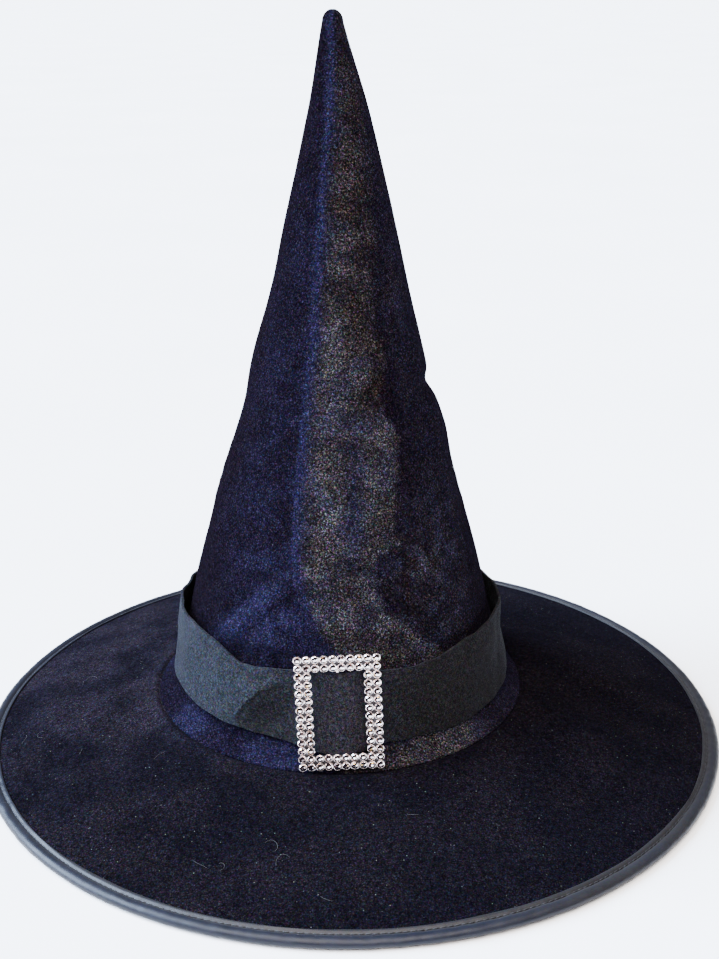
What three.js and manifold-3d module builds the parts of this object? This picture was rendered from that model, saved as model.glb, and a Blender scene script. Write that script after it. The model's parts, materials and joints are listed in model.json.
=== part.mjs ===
// Witch hat: a tall velvet crown on a wide brim with a wire in its bound edge, and a felt band that is
// threaded through a slider buckle set with stones. Millimetres, +Z up, the front faces -Y.
// The origin is the centre of the brim's edge, on the surface that the hat stands on.
import * as THREE from "three";
import { mergeVertices } from "three/addons/utils/BufferGeometryUtils.js";
import Module from "manifold-3d";

const wasm = await Module();
wasm.setup();

// Driving dimensions
const BRIM_R = 190; // outside of the bound edge
const SEAM_R = 94.6; // crown base, where it is sewn to the brim: a 59 cm opening
const EDGE_Z = 2.3; // middle of the bound edge: the hat stands on its underside
const SEAM_Z = EDGE_Z + 21.6; // the brim falls this far from the crown to its edge
const CROWN_H = 334.5; // crown above the seam
const CROWN_X = -6; // the crown is sewn in a little left of the brim's centre
const GAP = 0.3; // between layers that touch

// Crown outline, by height above the seam
const TIP_R = 3.5;
const SHOULDER = 7; // the point rounds over this far below the tip
const TAPER = 0.2345; // radius lost per millimetre of height
const BELLY = 5.2; // the lower half is this much fuller than a plain cone
const BELLY_TOP = 118; // height where the belly fades out
const BELLY_FADE = 24;
const FLARE_RISE = 3.6; // height over which the base turns out to the seam
const VELVET = 0.6; // cloth thickness
const STIFFENER = 1.8;
const TAPE = 0.9; // tape round the head opening
const TAPE_LOW = -6; // its lower and upper edge, from the seam
const TAPE_TOP = 22;

// Brim
const LAYERS_R = 185.8; // the cloth and the board end here, inside the binding
const OPENING_R = 91.5; // head opening through the brim
const BRIM_ARCH = 1.6; // the brim bows up this much between the crown and its edge
const BOARD = 1;
const SLIT = 0.2; // between the brim's layers
const BINDING_W = 7.7; // width of the binding on the brim's top
const BINDING_UNDER_W = 9; // and underneath, where it is a little wider so that the stitches catch it
const BINDING = 0.7;
const WIRE_R = 0.9;
const WIRE_RING_R = 187.6;
const ROLL_BORE = 1.5; // room for the wire inside the binding's roll
const FLAT_INNER_R = 185; // the flat that the hat stands on
const FLAT_OUTER_R = 187.8;
const STITCH_TOP_R = 184.3; // rows of stitches through the binding
const STITCH_UNDER_R = 182.9;
const THREAD_R = 0.25;
const FERRULE_R = 1.35; // tube over the wire's two ends
const FERRULE_BORE_R = 1.1;
const FERRULE_HALF = THREE.MathUtils.degToRad(2.4);

// Band and buckle
const BAND_W = 37.8;
const FELT = 1.2;
const BAND_MID_UP = 29.7; // middle of the band, above the seam
const BAND_MID_R = 84; // its outside there
const LEAN = THREE.MathUtils.degToRad(8); // band and buckle lean back with the crown
const ROLL = THREE.MathUtils.degToRad(2); // the buckle sits a little crooked
const STONE = 4; // stone size and pitch
const COLUMNS = 10;
const ROWS = 14;
const RAIL = 2 * STONE; // two stones wide
const PLATE = 1.6;
const BUCKLE_BACK_R = 88.8; // back of the buckle's frame, from the crown's axis
const BAR_R = 1;
const BAR_HOLD = 3; // the bar runs this far behind the rail at each end
const CUP = 0.7; // cup under each stone
const STONE_RISE = 1.5; // a stone stands this far above its cup
const BAND_RISE = BUCKLE_BACK_R - (BAND_MID_R - FELT); // the band humps up this far over the bar
const HUMP_TOP = 3; // half width of the hump's flat top, and of its foot
const HUMP_FOOT = 24;
const LAP_STITCHED = 30; // length of the stitching down the band's lap
const TACK_R = 0.6;
const TACK_UP = 20; // the tacks, above the seam

const BRIM_STEPS = 48;
const CROWN_STEPS = 36;
const BAND_STEPS = 84;

// Materials
const cloth = (color, roughness = 0.95) => new THREE.MeshStandardMaterial({ color, roughness, metalness: 0 });
const metal = (color, roughness) => new THREE.MeshStandardMaterial({ color, roughness, metalness: 1 });
const VELVET_BLACK = cloth(0x14161f);
const BOARD_BLACK = cloth(0x2a2a2c);
const SATIN_BLACK = cloth(0x2b2f3a, 0.45);
const FELT_BLACK = cloth(0x2c3035);
const THREAD_BLACK = cloth(0x1a1b20, 0.7);
const WIRE_STEEL = metal(0x8c8f92, 0.35);
const BUCKLE_SILVER = metal(0xc9c9cc, 0.25);
const STONE_CLEAR = metal(0xe4e4ea, 0.12);

function part(name, geometry, material) {
  const mesh = new THREE.Mesh(geometry, material);
  mesh.name = name;
  return mesh;
}

// A closed outline of [radius, z] pairs turned about Z. The outline runs up on its outer side.
function turn(outline, steps) {
  const points = outline.map(([radius, z]) => new THREE.Vector2(radius, z));
  return new THREE.LatheGeometry(points, steps).rotateX(Math.PI / 2);
}

// A point on a ring. The angle runs from the back, through the right and the front, to the left.
function around(angle, radius, z) {
  return new THREE.Vector3(radius * Math.sin(angle), radius * Math.cos(angle), z);
}

function ring(outline, steps) {
  return turn([...outline, outline[0]], steps);
}

function between(from, to, count) {
  return Array.from({ length: count + 1 }, (_, i) => from + ((to - from) * i) / count);
}

// The outline of a round section about [radius, z]
function round(radius, z, r, sides = 5) {
  return between(0, 2 * Math.PI, sides)
    .slice(0, sides)
    .map((a) => [radius + r * Math.cos(a), z + r * Math.sin(a)]);
}

// A skin through closed loops of points, with flat ends: a strip, a tape or a thread
function loft(loops) {
  const n = loops[0].length;
  const position = loops.flat().flatMap((p) => p.toArray());
  const index = [];
  for (let i = 0; i + 1 < loops.length; i++) {
    for (let j = 0; j < n; j++) {
      const [a, b] = [i * n + j, i * n + ((j + 1) % n)];
      index.push(a, b, b + n, a, b + n, a + n);
    }
  }
  const last = (loops.length - 1) * n;
  for (let j = 1; j + 1 < n; j++) {
    index.push(0, j + 1, j);
    index.push(last, last + j, last + j + 1);
  }
  return new THREE.BufferGeometry()
    .setAttribute("position", new THREE.Float32BufferAttribute(position, 3))
    .setIndex(index);
}

function solid(geometry) {
  const bare = geometry.clone();
  bare.deleteAttribute("normal");
  bare.deleteAttribute("uv");
  const merged = mergeVertices(bare, 1e-4);
  return new wasm.Manifold(
    new wasm.Mesh({
      numProp: 3,
      vertProperties: merged.attributes.position.array,
      triVerts: new Uint32Array(merged.index.array),
    }),
  );
}

function geometryOf(made) {
  const mesh = made.getMesh();
  return new THREE.BufferGeometry()
    .setAttribute("position", new THREE.BufferAttribute(mesh.vertProperties, 3))
    .setIndex(new THREE.BufferAttribute(mesh.triVerts, 1));
}

const joined = (geometries) => geometryOf(geometries.map(solid).reduce((all, next) => all.add(next)));
const cut = (body, tool) => geometryOf(solid(body).subtract(solid(tool)));

// Crown
function coneRadius(up) {
  return TIP_R + TAPER * (CROWN_H - up) + BELLY / (1 + Math.exp((up - BELLY_TOP) / BELLY_FADE));
}

function crownRadius(up) {
  return coneRadius(up) + (SEAM_R - coneRadius(0)) * Math.exp(-up / FLARE_RISE);
}

const FLARE_HEIGHTS = [1, 3, 6, 12];
const CROWN_HEIGHTS = [...FLARE_HEIGHTS, ...between(30, CROWN_H - SHOULDER, 7)];

function crownWall(heights, inset) {
  return heights.map((up) => [crownRadius(up) - inset, SEAM_Z + up]);
}

function crownVelvet() {
  const tip = SEAM_Z + CROWN_H;
  const shoulder = crownRadius(CROWN_H - SHOULDER);
  const dome = [[shoulder * 0.9, tip - SHOULDER / 2], [shoulder * 0.62, tip - SHOULDER / 6], [0, tip]];
  const inside = crownWall(CROWN_HEIGHTS, VELVET).reverse();
  return turn([[0, tip - SHOULDER / 2], ...inside, ...crownWall(CROWN_HEIGHTS, 0), ...dome], CROWN_STEPS);
}

const LINING_INSET = VELVET + GAP + STIFFENER;

function crownStiffener() {
  const top = CROWN_H - 2 * SHOULDER;
  const heights = [...CROWN_HEIGHTS.slice(0, -1), top];
  const inside = crownWall(heights, LINING_INSET).reverse();
  const outside = crownWall(heights, VELVET + GAP);
  const apex = (up) => [0, SEAM_Z + top + up];
  return turn([apex(-STIFFENER), ...inside, ...outside, apex(STIFFENER)], CROWN_STEPS);
}

// The sewing thread of the crown's back seam, on the inside of the stiffener. The wall's straight facets
// cut a little inside its curve, so the thread stands off by half its radius more than the usual gap.
const SEAM_THREAD_R = 0.4;
const SEAM_THREAD_TOP = 290;

function crownSeamThread() {
  const inset = LINING_INSET + GAP + 1.5 * SEAM_THREAD_R;
  return loft(
    between(TAPE_TOP + 4, SEAM_THREAD_TOP, 6).map((up) => {
      const y = crownRadius(up) - inset;
      return round(y, 0, SEAM_THREAD_R, 6).map(([r, x]) => new THREE.Vector3(-x, r, SEAM_Z + up));
    }),
  );
}

// Tape inside the head opening, over the raw edges of the seam between crown and brim
function headTape() {
  const widest = OPENING_R - 2 * THREAD_R - 2 * GAP - 0.2;
  const outer = (up) => Math.min(widest, crownRadius(Math.max(up, 0)) - LINING_INSET - GAP - 0.2);
  const heights = [TAPE_LOW, ...FLARE_HEIGHTS, TAPE_TOP];
  const wall = (inset) => heights.map((up) => [outer(up) - inset, SEAM_Z + up]);
  return ring([...wall(0), ...wall(TAPE).reverse()], CROWN_STEPS);
}

// Brim
const CORE_DROP = VELVET + SLIT;
const UNDER_DROP = CORE_DROP + BOARD + SLIT;
const LAYERS = UNDER_DROP + VELVET;
const EDGE_TOP_Z = EDGE_Z + LAYERS / 2;

function brimTop(r) {
  const t = (r - SEAM_R) / (LAYERS_R - SEAM_R);
  return SEAM_Z + (EDGE_TOP_Z - SEAM_Z) * t + BRIM_ARCH * Math.sin(Math.PI * Math.min(Math.max(t, 0), 1));
}

function brimLayer(below, thickness) {
  const radii = between(OPENING_R, LAYERS_R, 3);
  const face = (drop) => radii.map((r) => [r, brimTop(r) - drop]);
  return offCentre(ring([...face(below + thickness), ...face(below).reverse()], BRIM_STEPS));
}

// The crown's opening lies off the brim's centre, so the brim is drawn over towards it
function offCentre(geometry) {
  const p = geometry.attributes.position;
  for (let i = 0; i < p.count; i++) {
    const r = Math.hypot(p.getX(i), p.getY(i));
    const share = Math.min(Math.max((BRIM_R - r) / (BRIM_R - SEAM_R), 0), 1);
    p.setX(i, p.getX(i) + CROWN_X * share);
  }
  return geometry;
}

const bindingTop = (r, lift) => brimTop(r) + SLIT + lift;
const bindingUnder = (r, drop) => brimTop(r) - LAYERS - SLIT - drop;

// The binding folds round the layers and the wire. Its underside is flat where the hat stands on it.
function binding() {
  const inner = BRIM_R - BINDING_W;
  const innerUnder = BRIM_R - BINDING_UNDER_W;
  const top = (r, lift) => [r, bindingTop(r, lift)];
  const under = (r, drop) => [r, bindingUnder(r, drop)];
  const roll = (r, share) => [r, EDGE_Z * (1 + share)];
  const bore = (out, up) => [WIRE_RING_R + ROLL_BORE * out, EDGE_Z + ROLL_BORE * up];
  return offCentre(
    ring(
      [
        under(innerUnder, BINDING),
        under(STITCH_UNDER_R + BINDING, BINDING),
        roll(FLAT_INNER_R, -1),
        roll(FLAT_OUTER_R, -1),
        roll(BRIM_R - 0.6, -0.6),
        roll(BRIM_R, 0),
        roll(BRIM_R - 0.6, 0.6),
        roll(FLAT_OUTER_R, 1),
        top(STITCH_TOP_R, BINDING),
        top(inner, BINDING),
        top(inner, 0),
        top(LAYERS_R, 0),
        bore(0.6, 1),
        bore(1, 0),
        bore(0.6, -1),
        under(LAYERS_R, 0),
        under(innerUnder, 0),
      ],
      BRIM_STEPS,
    ),
  );
}

// A tube crimped over the wire's two ends, at the back. It follows the wire's straight facets.
function ferrule() {
  const half = Math.PI / BRIM_STEPS;
  const place = (angle, section) => {
    const chord = Math.cos(half) / Math.cos(half - Math.abs(angle));
    return section.map(([radius, z]) => around(angle, radius * chord, z));
  };
  const tube = (r, span) =>
    loft([-span, 0, span].map((angle) => place(angle, round(WIRE_RING_R, EDGE_Z, r, 10))));
  return cut(tube(FERRULE_R, FERRULE_HALF), tube(FERRULE_BORE_R, FERRULE_HALF * 1.1));
}

// Band: a strip of felt lapped at the back and humped over the buckle's bar at the front
const LAP = THREE.MathUtils.degToRad(11);

function bandRadius(angle, up) {
  const lean = -(up - BAND_MID_UP) * Math.tan(LEAN);
  const across = Math.abs(BAND_MID_R * Math.sin(angle - Math.PI));
  const front = Math.cos(angle - Math.PI) > 0;
  const hump = front ? BAND_RISE * (1 - THREE.MathUtils.smoothstep(across, HUMP_TOP, HUMP_FOOT)) : 0;
  const lap = THREE.MathUtils.smoothstep(angle, 2 * Math.PI - 1.6 * LAP, 2 * Math.PI - LAP / 2);
  return BAND_MID_R + lean + hump + (FELT + GAP) * lap;
}

function band() {
  const half = (BAND_W / 2) * Math.cos(LEAN);
  const [low, high] = [BAND_MID_UP - half, BAND_MID_UP + half];
  return loft(
    between(-LAP / 2, 2 * Math.PI + LAP / 2, BAND_STEPS).map((angle) => {
      const corner = (up, inset) => around(angle, bandRadius(angle, up) - inset, SEAM_Z + up);
      return [corner(low, 0), corner(high, 0), corner(high, FELT), corner(low, FELT)];
    }),
  );
}

// The stitches down the band's lap, on its outside
function lapThread() {
  return loft(
    between(BAND_MID_UP - LAP_STITCHED / 2, BAND_MID_UP + LAP_STITCHED / 2, 3).map((up) => {
      const r = bandRadius(2 * Math.PI, up) + GAP + THREAD_R;
      return round(r, 0, THREAD_R, 6).map(([y, x]) => new THREE.Vector3(-x, y, SEAM_Z + up));
    }),
  );
}

// A few turns of thread that tack the band to the crown, across the gap behind it
function tack(angle) {
  const from = crownRadius(TACK_UP) + GAP;
  const length = bandRadius(angle, TACK_UP) - FELT - GAP - from;
  const peg = new THREE.CylinderGeometry(TACK_R, TACK_R, length, 8);
  peg.rotateZ(-Math.PI / 2).translate(from + length / 2, 0, 0);
  return peg.rotateZ(Math.PI / 2 - angle).translate(0, 0, SEAM_Z + TACK_UP);
}

// Buckle: x across, z up its face, the back of the frame at y = 0, the stones towards -y
const BUCKLE_W = COLUMNS * STONE;
const BUCKLE_H = ROWS * STONE;

function rectangle(path, width, height, corner) {
  const [w, h] = [width / 2, height / 2];
  path.moveTo(-w + corner, -h);
  path.lineTo(w - corner, -h);
  path.absarc(w - corner, -h + corner, corner, -Math.PI / 2, 0);
  path.lineTo(w, h - corner);
  path.absarc(w - corner, h - corner, corner, 0, Math.PI / 2);
  path.lineTo(-w + corner, h);
  path.absarc(-w + corner, h - corner, corner, Math.PI / 2, Math.PI);
  path.lineTo(-w, -h + corner);
  path.absarc(-w + corner, -h + corner, corner, Math.PI, 1.5 * Math.PI);
  return path;
}

function buckleFrame() {
  const outline = rectangle(new THREE.Shape(), BUCKLE_W, BUCKLE_H, 1.6);
  outline.holes.push(rectangle(new THREE.Path(), BUCKLE_W - 2 * RAIL, BUCKLE_H - 2 * RAIL, 0.5));
  const plate = new THREE.ExtrudeGeometry(outline, { depth: PLATE, bevelEnabled: false, curveSegments: 2 });
  return plate.rotateX(Math.PI / 2);
}

function buckleBar() {
  const length = BUCKLE_H - 2 * RAIL + 2 * BAR_HOLD;
  const bar = new THREE.CylinderGeometry(BAR_R, BAR_R, length, 10).rotateX(Math.PI / 2);
  return bar.translate(0, BAR_R + GAP, 0);
}

// A row of stones in one strip of cups
function stoneRow(count, vertical) {
  const strip = new THREE.BoxGeometry(count * STONE - 2 * GAP, CUP, STONE - 2 * GAP);
  strip.translate(0, -CUP / 2, 0);
  const stones = between(-(count - 1) / 2, (count - 1) / 2, count - 1).map((place) =>
    new THREE.CylinderGeometry(STONE * 0.26, STONE * 0.46, STONE_RISE, 6)
      .rotateX(Math.PI)
      .translate(place * STONE, -CUP / 2 - STONE_RISE / 2, 0),
  );
  const row = joined([strip, ...stones]);
  return vertical ? row.rotateY(Math.PI / 2) : row;
}

function buckle() {
  const group = new THREE.Group();
  group.add(part("buckle_frame", buckleFrame(), BUCKLE_SILVER));
  group.add(part("buckle_bar", buckleBar(), BUCKLE_SILVER));
  for (const [row, depth] of [["outer", 0], ["inner", 1]]) {
    const x = (COLUMNS / 2 - 0.5 - depth) * STONE;
    const z = (ROWS / 2 - 0.5 - depth) * STONE;
    const sides = [
      ["top", COLUMNS - 2 * depth, 0, z],
      ["bottom", COLUMNS - 2 * depth, 0, -z],
      ["left", ROWS - 2 - 2 * depth, -x, 0],
      ["right", ROWS - 2 - 2 * depth, x, 0],
    ];
    for (const [side, count, atX, atZ] of sides) {
      const stones = part(`stones_${row}_${side}`, stoneRow(count, atX !== 0), STONE_CLEAR);
      stones.position.set(atX, -PLATE - 0.2, atZ);
      group.add(stones);
    }
  }
  group.position.set(0, -BUCKLE_BACK_R, SEAM_Z + BAND_MID_UP);
  group.rotation.set(-LEAN, -ROLL, 0);
  return group;
}

// Assembly
const brim = new THREE.Group();
brim.add(part("brim_top_velvet", brimLayer(0, VELVET), VELVET_BLACK));
brim.add(part("brim_core", brimLayer(CORE_DROP, BOARD), BOARD_BLACK));
brim.add(part("brim_under_velvet", brimLayer(UNDER_DROP, VELVET), VELVET_BLACK));
brim.add(part("brim_wire", ring(round(WIRE_RING_R, EDGE_Z, WIRE_R), BRIM_STEPS), WIRE_STEEL));
brim.add(part("wire_ferrule", ferrule(), WIRE_STEEL));
brim.add(part("brim_binding", binding(), SATIN_BLACK));
const stitchRow = (r, z) => offCentre(ring(round(r, z, THREAD_R, 4), BRIM_STEPS));
const CLEAR = BINDING + GAP + THREAD_R;
const topStitches = stitchRow(STITCH_TOP_R, bindingTop(STITCH_TOP_R, CLEAR));
const underStitches = stitchRow(STITCH_UNDER_R, bindingUnder(STITCH_UNDER_R, CLEAR));
brim.add(part("binding_thread_top", topStitches, THREAD_BLACK));
brim.add(part("binding_thread_under", underStitches, THREAD_BLACK));

const crown = new THREE.Group();
crown.add(part("crown_velvet", crownVelvet(), VELVET_BLACK));
crown.add(part("crown_stiffener", crownStiffener(), BOARD_BLACK));
crown.add(part("crown_seam_thread", crownSeamThread(), THREAD_BLACK));
const baseThread = ring(round(OPENING_R - GAP - THREAD_R, SEAM_Z - 2, THREAD_R), CROWN_STEPS);
crown.add(part("crown_base_thread", baseThread, THREAD_BLACK));
crown.add(part("head_tape", headTape(), SATIN_BLACK));
crown.add(part("hat_band", band(), FELT_BLACK));
crown.add(part("band_lap_thread", lapThread(), THREAD_BLACK));
crown.add(part("band_tack_right", tack(Math.PI / 2), THREAD_BLACK));
crown.add(part("band_tack_left", tack(1.5 * Math.PI), THREAD_BLACK));
crown.add(part("band_tack_back", tack(0.16 * Math.PI), THREAD_BLACK));
crown.add(buckle());
crown.position.x = CROWN_X;

const hat = new THREE.Group();
hat.add(brim, crown);

export default hat;
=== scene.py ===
"""Witch hat: crushed velvet crown and brim, satin binding, felt band and a slider buckle set with stones.

Shapes are worked out in millimetres and turned into metres when a mesh is made. Angles round the crown
are in degrees from the front (-Y), positive towards +X. "Up" is the height above the seam where the
crown is sewn to the brim.
"""
import json
import math
import bpy
import numpy as np
from mathutils import Matrix, Vector


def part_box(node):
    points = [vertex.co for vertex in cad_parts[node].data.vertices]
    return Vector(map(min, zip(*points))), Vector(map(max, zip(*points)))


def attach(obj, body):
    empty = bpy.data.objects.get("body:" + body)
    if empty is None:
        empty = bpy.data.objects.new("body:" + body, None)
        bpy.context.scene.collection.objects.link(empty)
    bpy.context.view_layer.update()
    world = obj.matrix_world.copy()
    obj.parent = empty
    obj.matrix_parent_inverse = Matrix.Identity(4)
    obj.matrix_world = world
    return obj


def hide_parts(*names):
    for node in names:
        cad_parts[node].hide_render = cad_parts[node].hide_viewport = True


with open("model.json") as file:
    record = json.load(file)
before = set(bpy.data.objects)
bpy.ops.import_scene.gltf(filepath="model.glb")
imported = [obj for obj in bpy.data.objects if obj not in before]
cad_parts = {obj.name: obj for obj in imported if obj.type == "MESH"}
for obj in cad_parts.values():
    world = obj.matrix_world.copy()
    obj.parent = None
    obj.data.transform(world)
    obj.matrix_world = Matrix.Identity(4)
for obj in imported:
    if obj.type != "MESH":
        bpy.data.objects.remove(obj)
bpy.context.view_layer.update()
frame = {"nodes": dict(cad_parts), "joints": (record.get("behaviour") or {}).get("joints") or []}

MM = 0.001


def box_mm(node):
    low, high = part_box(node)
    return np.array(low) / MM, np.array(high) / MM


# Sizes taken from the frame
crown_low, crown_high = box_mm("crown_velvet")
binding_low, binding_high = box_mm("brim_binding")
BRIM_R = (binding_high[0] - binding_low[0]) / 2
CROWN_X = (crown_low[0] + crown_high[0]) / 2
SEAM_Z = crown_low[2] - 1.0
CROWN_H = crown_high[2] - SEAM_Z

# The crown's outline, as the frame has it
SEAM_R = 94.6
TIP_R = 3.5
TAPER = 0.2345
BELLY = 5.2
BELLY_TOP = 118.0
BELLY_FADE = 24.0
FLARE_RISE = 3.6

# The brim
LAYERS_R = 185.8
BRIM_ARCH = 1.6
EDGE_MID_Z = 2.3
BRIM_THICK = 2.6
BELOW_TOP = 2.0  # from the top cloth's face to the board's lower face
BINDING_IN_R = 182.3
STITCH_R = 184.3
BINDING_UNDER_R = 181.0
STITCH_UNDER_R = 182.9

# The band and the buckle
FELT = 1.2
BAND_R = 84.0
BAND_MID_UP = 29.7
LEAN = math.radians(8)
ROLL = math.radians(2)
STONE = 4.0
COLUMNS = 10
ROWS = 14
PLATE = 1.6
BAR_R = 1.0
BAR_GAP = 0.3
BUCKLE_R = 88.8


def ramp(x, low, high):
    """0 below low, 1 above high, and smooth in between."""
    t = np.clip((np.asarray(x, float) - low) / (high - low), 0, 1)
    return t * t * (3 - 2 * t)


def hill(x, middle, width):
    return np.exp(-(((np.asarray(x, float) - middle) / width) ** 2))


def waves(seed, count, shortest, longest):
    """A smooth random field over points in millimetres: a sum of sine waves of these wavelengths."""
    rng = np.random.default_rng(seed)
    direction = rng.normal(size=(count, 3))
    direction /= np.linalg.norm(direction, axis=1)[:, None]
    length = np.exp(rng.uniform(math.log(shortest), math.log(longest), count))
    phase = rng.uniform(0, 2 * math.pi, count)

    def field(points):
        total = np.zeros(points.shape[:-1])
        for d, l, p in zip(direction, length, phase):
            total += np.sin(points @ d * (2 * math.pi / l) + p)
        return total / math.sqrt(count / 2)

    return field


# Materials

def material(name):
    made = bpy.data.materials.new(name)
    made.use_nodes = True
    tree = made.node_tree
    return made, tree, tree.nodes["Principled BSDF"]


def settle(made, **values):
    """Sets a node's inputs by name, _ for a space, to a value or another node's output"""
    for key, value in values.items():
        socket = made.inputs[key.replace("_", " ")]
        if isinstance(value, bpy.types.NodeSocket):
            made.id_data.links.new(value, socket)
        else:
            socket.default_value = value


def node(tree, kind, **settings):
    made = tree.nodes.new(kind)
    for key, value in settings.items():
        if hasattr(made, key):
            setattr(made, key, value)
        else:
            settle(made, **{key: value})
    return made


def place(tree):
    """Object coordinates, in metres"""
    return node(tree, "ShaderNodeTexCoord").outputs["Object"]


def noise(tree, scale, detail, rough, warp=0.0):
    """A noise of so many features per metre"""
    made = node(tree, "ShaderNodeTexNoise", Vector=place(tree), Scale=scale, Detail=detail, Roughness=rough,
                Distortion=warp)
    return made.outputs["Fac"]


def shades(tree, value, stops):
    """Colours along a value: [(place, (r, g, b)), ...]"""
    made = node(tree, "ShaderNodeValToRGB", Fac=value)
    elements = made.color_ramp.elements
    while len(elements) < len(stops):
        elements.new(0.5)
    for element, (at, color) in zip(elements, stops):
        element.position = at
        element.color = (*color, 1)
    return made.outputs["Color"]


def grey(value):
    return (value,) * 3


def mix(tree, how, share, first, second):
    """Two colours mixed; each value is a number, a colour or a node's output"""
    made = node(tree, "ShaderNodeMix", data_type="RGBA", blend_type=how)
    for socket, value in ((made.inputs[0], share), (made.inputs[6], first), (made.inputs[7], second)):
        if isinstance(value, bpy.types.NodeSocket):
            tree.links.new(value, socket)
        else:
            socket.default_value = (*value, 1) if isinstance(value, tuple) else value
    return made.outputs[2]


def blend_colors(tree, share, first, second):
    return mix(tree, "MIX", share, first, second)


def times(tree, first, second):
    return mix(tree, "MULTIPLY", 1, first, second)


def bump(tree, height, strength, distance, below=None):
    made = node(tree, "ShaderNodeBump", Strength=strength, Distance=distance, Height=height)
    if below is not None:
        settle(made, Normal=below)
    return made.outputs["Normal"]


def painted(tree, name):
    """A value from 0 to 1 that the mesh carries"""
    return node(tree, "ShaderNodeAttribute", attribute_name=name).outputs["Fac"]


def speckle(tree, scale, spread):
    """Colour noise about white: each channel strays from 1 on its own"""
    made = node(tree, "ShaderNodeTexNoise", Vector=place(tree), Scale=scale, Detail=1)
    stretch = node(tree, "ShaderNodeVectorMath", operation="MULTIPLY_ADD")
    stretch.inputs[1].default_value = grey(spread)
    stretch.inputs[2].default_value = grey(1 - spread / 2)
    tree.links.new(made.outputs["Color"], stretch.inputs[0])
    least = node(tree, "ShaderNodeVectorMath", operation="MAXIMUM")
    least.inputs[1].default_value = grey(0.05)
    tree.links.new(stretch.outputs[0], least.inputs[0])
    return least.outputs[0]


def lint(tree, below, scale, size, glow):
    """Sparse bright specks of dust, each in a colour of its own, laid over a colour"""
    cells = node(tree, "ShaderNodeTexVoronoi", Vector=place(tree), Scale=scale)
    spot = shades(tree, cells.outputs["Distance"], [(0.0, (1, 1, 1)), (size, (0, 0, 0))])
    chosen = node(tree, "ShaderNodeSeparateColor", Color=cells.outputs["Color"])
    some = shades(tree, chosen.outputs[1], [(0.55, (0, 0, 0)), (0.95, (1, 1, 1))])
    pale = blend_colors(tree, 0.45, (1, 1, 1), cells.outputs["Color"])
    return blend_colors(tree, times(tree, spot, some), below, times(tree, pale, grey(glow)))


def velvet(name, cool, warm, deep, sheen, tint, dust, grains_and_glints):
    """Short black pile. The mesh says where the pile looks light, by its own nap and by painted sheen and
    shade, and where it is brown ("warm").

    deep is what the colour is multiplied by where the pile looks dark, and the grain stops give the light of
    single tufts along a noise: painted glints of the crushed pile over its own uneven tone. The blue parts
    of the pile have a calmer grain than the brown ones.
    """
    made, tree, shader = material(name)
    pile = noise(tree, 1300, 2, 0.75)
    tufts = noise(tree, 480, 3, 0.7, 0.6)
    hue = blend_colors(tree, painted(tree, "warm"), cool, warm)
    base = blend_colors(tree, painted(tree, "nap_and_painted_light"), times(tree, hue, deep), hue)
    rich = shades(tree, pile, [(at, grey(light)) for at, light in grains_and_glints])
    calm = shades(tree, pile, [(at, grey(0.38 + 0.62 * light)) for at, light in grains_and_glints])
    grain = blend_colors(tree, painted(tree, "warm"), calm, rich)
    clump = shades(tree, tufts, [(0.36, grey(0.6)), (0.64, grey(1.45))])
    cloth = times(tree, times(tree, times(tree, base, grain), clump), speckle(tree, 1100, 2.3))
    rough = shades(tree, tufts, [(0.3, grey(0.7)), (0.7, grey(0.9))])
    coarse = bump(tree, tufts, 0.5, 0.0010)
    settle(shader, Base_Color=lint(tree, cloth, 400, 0.13, dust), Roughness=rough,
           Normal=bump(tree, pile, 0.7, 0.0005, coarse),
           Sheen_Weight=sheen, Sheen_Roughness=0.4, Sheen_Tint=(*tint, 1), Specular_IOR_Level=0.0)
    return made


def felt():
    """Matted fibres: short pale hairs over a dark ground, with painted light and shade from the mesh, paler
    where lit and darker where shaded, or greyer ("warm")
    """
    made, tree, shader = material("felt")
    fibres = noise(tree, 520, 6, 0.8, 3.0)
    fluff = noise(tree, 1000, 4, 0.7, 1.5)
    clouds = noise(tree, 60, 3, 0.6)
    base = shades(tree, clouds, [(0.3, (0.0030, 0.0031, 0.0037)), (0.7, (0.0050, 0.0051, 0.0058))])
    light = shades(tree, fibres, [(0.44, (0, 0, 0)), (0.66, (1, 1, 1))])
    color = blend_colors(tree, light, base, (0.0225, 0.0225, 0.0235))
    grain = shades(tree, fluff, [(0.38, grey(0.3)), (0.5, grey(0.9)), (0.62, grey(2.0))])
    cloth = times(tree, times(tree, color, grain), speckle(tree, 900, 1.9))
    # Painted light and shade: the felt's colour is scaled from a darker, browner shaded tint to a paler,
    # bluer lit one
    brushed_and_shade = blend_colors(tree, painted(tree, "nap_and_painted_light"), (0.62, 0.56, 0.57), (0.86, 0.92, 1.13))
    brushed_and_shade = blend_colors(tree, painted(tree, "warm"), brushed_and_shade, (1.18, 1.02, 1.22))
    coarse = bump(tree, fibres, 0.5, 0.0006)
    settle(shader, Base_Color=lint(tree, times(tree, cloth, brushed_and_shade), 300, 0.08, 0.02), Roughness=0.92,
           Normal=bump(tree, fluff, 0.5, 0.0004, coarse), Specular_IOR_Level=0.02,
           Sheen_Weight=0.01, Sheen_Roughness=0.5, Sheen_Tint=(0.75, 0.8, 0.88, 1))
    return made


def satin():
    """Close-woven tape, blue-black, painted greyer where the mesh says so ("warm"): painted sheen, with some
    random greyer tone
    """
    made, tree, shader = material("satin")
    wear = noise(tree, 90, 3, 0.6)
    weave = noise(tree, 2400, 2, 0.5)
    blue = shades(tree, wear, [(0.3, (0.0028, 0.0033, 0.0068)), (0.7, (0.0048, 0.0055, 0.0105))])
    color = blend_colors(tree, painted(tree, "warm"), blue, (0.0085, 0.0078, 0.0085))
    settle(shader, Base_Color=times(tree, color, speckle(tree, 900, 0.8)),
           Roughness=shades(tree, wear, [(0.3, grey(0.36)), (0.7, grey(0.5))]),
           Normal=bump(tree, weave, 0.15, 0.0002), Specular_IOR_Level=0.16, Sheen_Weight=0.02)
    return made


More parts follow.
